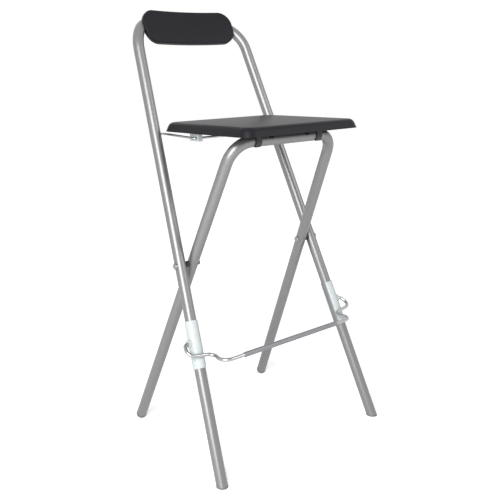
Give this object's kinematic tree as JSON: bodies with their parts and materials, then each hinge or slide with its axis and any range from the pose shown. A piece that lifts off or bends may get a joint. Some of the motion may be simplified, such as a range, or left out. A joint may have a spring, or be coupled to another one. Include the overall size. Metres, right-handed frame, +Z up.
{
  "type": "folding bar stool",
  "caption": "Tall folding stool: two crossing bent-tube frames, moulded seat, short curved backrest and a swinging wire footrest.",
  "frame": {"origin": "on the floor under the middle of the whole width and depth, with the stool standing open", "axes": "+Z up, -Y toward the front where the sitter's legs and the footrest are, +X to the right seen from the front"},
  "size_m": [0.502, 0.4722, 0.9894],
  "materials": {
    "frame_paint": "satin silver-grey powder coat",
    "seat_plastic": "fine-grained charcoal",
    "white_plastic": "smooth off-white",
    "black_plastic": "smooth black",
    "foot_plastic": "smooth grey",
    "bright_steel": "plain zinc plate",
    "plated_wire": "bright plated",
    "footrest_sleeve_tube": "satin grey"
  },
  "bodies": {
    "outer_frame": {"back_frame_tube": "frame_paint", "backrest_panel": "seat_plastic", "backrest_rear_cover": "seat_plastic", "backrest_screws": "bright_steel", "pivot_rivet_left": "bright_steel", "pivot_rivet_right": "bright_steel", "pivot_spacer_left": "black_plastic", "pivot_spacer_right": "black_plastic", "footrest_sleeve_left": "white_plastic", "footrest_sleeve_right": "white_plastic", "front_foot_left": "foot_plastic", "front_foot_right": "foot_plastic"},
    "inner_frame": {"rear_leg_frame_tube": "frame_paint", "rear_foot_left": "foot_plastic", "rear_foot_right": "foot_plastic", "crossbar_bumpers": "black_plastic", "crossbar_bumper_rivets": "bright_steel"},
    "seat": {"seat_panel": "seat_plastic", "seat_hinge_clip_left": "black_plastic", "seat_hinge_clip_right": "black_plastic", "seat_hinge_screws": "bright_steel", "wire_clip_left": "white_plastic", "wire_clip_right": "white_plastic", "wire_clip_screws": "bright_steel"},
    "link_wire": {"seat_link_wire": "plated_wire"},
    "footrest": {"footrest_rod": "plated_wire", "footrest_tube": "footrest_sleeve_tube"}
  },
  "joints": [
    {"name": "frame_fold", "type": "hinge", "parent": "outer_frame", "child": "inner_frame", "pos_m": [0, -0.0388, 0.44005], "axis": [-1, 0, 0], "range_deg": [0, 43]},
    {"name": "seat_hinge", "type": "hinge", "parent": "inner_frame", "child": "seat", "pos_m": [0, -0.16742, 0.708], "axis": [1, 0, 0], "range_deg": [0, 113.6]},
    {"name": "wire_hinge", "type": "hinge", "parent": "seat", "child": "link_wire", "pos_m": [0, -0.04908, 0.71176], "axis": [-1, 0, 0], "range_deg": [0, 168.61]},
    {"name": "footrest_lift", "type": "hinge", "parent": "outer_frame", "child": "footrest", "pos_m": [0, -0.10164, 0.2845], "axis": [-1, 0, 0], "range_deg": [0, 105]}
  ],
  "couplings": [
    {"joint": "seat_hinge", "follows": "frame_fold", "ratio": 2.6416},
    {"joint": "wire_hinge", "follows": "frame_fold", "ratio": 3.921}
  ]
}
